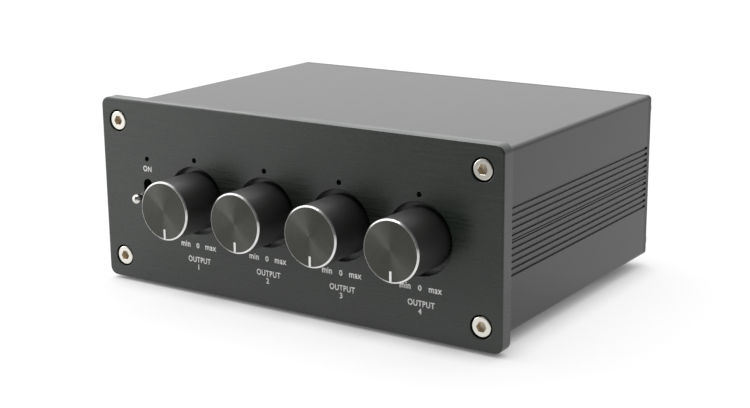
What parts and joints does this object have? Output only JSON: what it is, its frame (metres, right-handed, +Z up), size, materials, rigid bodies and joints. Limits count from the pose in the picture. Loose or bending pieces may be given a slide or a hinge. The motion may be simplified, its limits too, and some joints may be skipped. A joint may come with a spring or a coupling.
{
  "type": "audio line distributor",
  "caption": "Compact audio line distributor: split black aluminium case, thick front panel with level knobs and a power toggle, phono sockets behind.",
  "frame": {"origin": "on the floor under the middle of the whole part's box", "axes": "+X to the right seen from the front, +Y from the front panel to the rear panel, +Z up; the front faces -Y"},
  "size_m": [0.1366, 0.1208, 0.056],
  "materials": {
    "panel_black": "black anodised, finely brushed along its length",
    "case_black": "black anodised, fine satin",
    "screw_steel": "nickel plated steel",
    "foot_rubber": "matt black rubber",
    "knob_black": "black anodised, turned, with a bright cut edge",
    "dark_steel": "black oxide steel",
    "plated_metal": "nickel plate",
    "spring_bronze": "spring bronze",
    "moulded_black": "moulded black plastic",
    "lever_chrome": "polished chrome",
    "lamp_resin": "clear resin",
    "board_green": "green solder mask",
    "insulator_white": "white plastic",
    "insulator_red": "red plastic",
    "can_sleeve": "shrunk dark sleeve on a can",
    "sink_black": "black anodised",
    "film_case": "red moulded case"
  },
  "bodies": {
    "case": {"front_panel": "panel_black", "top_shell": "case_black", "bottom_shell": "case_black", "rear_panel": "case_black", "panel_screws": "screw_steel", "rear_screws": "screw_steel", "foot_front_left": "foot_rubber", "foot_front_right": "foot_rubber", "foot_rear_left": "foot_rubber", "foot_rear_right": "foot_rubber", "pot_bushing_1": "plated_metal", "pot_bushing_2": "plated_metal", "pot_bushing_3": "plated_metal", "pot_bushing_4": "plated_metal", "toggle_bushing": "plated_metal", "socket_sleeves": "plated_metal", "inlet_pin": "plated_metal", "socket_contacts": "spring_bronze", "pot_body_1": "moulded_black", "pot_body_2": "moulded_black", "pot_body_3": "moulded_black", "pot_body_4": "moulded_black", "toggle_body": "moulded_black", "board_header": "moulded_black", "socket_block_input": "moulded_black", "socket_block_1": "moulded_black", "socket_block_2": "moulded_black", "socket_block_3": "moulded_black", "socket_block_4": "moulded_black", "inlet_body": "moulded_black", "line_amplifiers": "moulded_black", "voltage_regulator": "moulded_black", "power_lamp": "lamp_resin", "level_lamps": "lamp_resin", "control_board": "board_green", "main_board": "board_green", "socket_insulators_left": "insulator_white", "socket_insulators_right": "insulator_red", "filter_capacitors": "can_sleeve", "heat_sink": "sink_black", "coupling_capacitors": "film_case"},
    "level_1": {"knob_1": "knob_black", "knob_set_screw_1": "dark_steel", "pot_shaft_1": "plated_metal", "pot_wiper_1": "spring_bronze"},
    "level_2": {"knob_2": "knob_black", "knob_set_screw_2": "dark_steel", "pot_shaft_2": "plated_metal", "pot_wiper_2": "spring_bronze"},
    "level_3": {"knob_3": "knob_black", "knob_set_screw_3": "dark_steel", "pot_shaft_3": "plated_metal", "pot_wiper_3": "spring_bronze"},
    "level_4": {"knob_4": "knob_black", "knob_set_screw_4": "dark_steel", "pot_shaft_4": "plated_metal", "pot_wiper_4": "spring_bronze"},
    "toggle": {"toggle_lever": "lever_chrome"},
    "rocker": {"toggle_rocker": "spring_bronze"}
  },
  "joints": [
    {"name": "level_1_turn", "type": "hinge", "parent": "case", "child": "level_1", "pos_m": [-0.03295, -0.0466, 0.0285], "axis": [0, 1, 0], "range_deg": [0, 300]},
    {"name": "level_2_turn", "type": "hinge", "parent": "case", "child": "level_2", "pos_m": [-0.00755, -0.0466, 0.0285], "axis": [0, 1, 0], "range_deg": [0, 300]},
    {"name": "level_3_turn", "type": "hinge", "parent": "case", "child": "level_3", "pos_m": [0.01785, -0.0466, 0.0285], "axis": [0, 1, 0], "range_deg": [0, 300]},
    {"name": "level_4_turn", "type": "hinge", "parent": "case", "child": "level_4", "pos_m": [0.04325, -0.0466, 0.0285], "axis": [0, 1, 0], "range_deg": [0, 300]},
    {"name": "toggle_swing", "type": "hinge", "parent": "case", "child": "toggle", "pos_m": [-0.05115, -0.0402, 0.0302], "axis": [-1, 0, 0], "range_deg": [0, 24]},
    {"name": "rocker_tip", "type": "hinge", "parent": "case", "child": "rocker", "pos_m": [-0.05115, -0.032, 0.0302], "axis": [-1, 0, 0], "range_deg": [-24, 0]}
  ],
  "couplings": [
    {"joint": "rocker_tip", "follows": "toggle_swing", "ratio": -1}
  ]
}
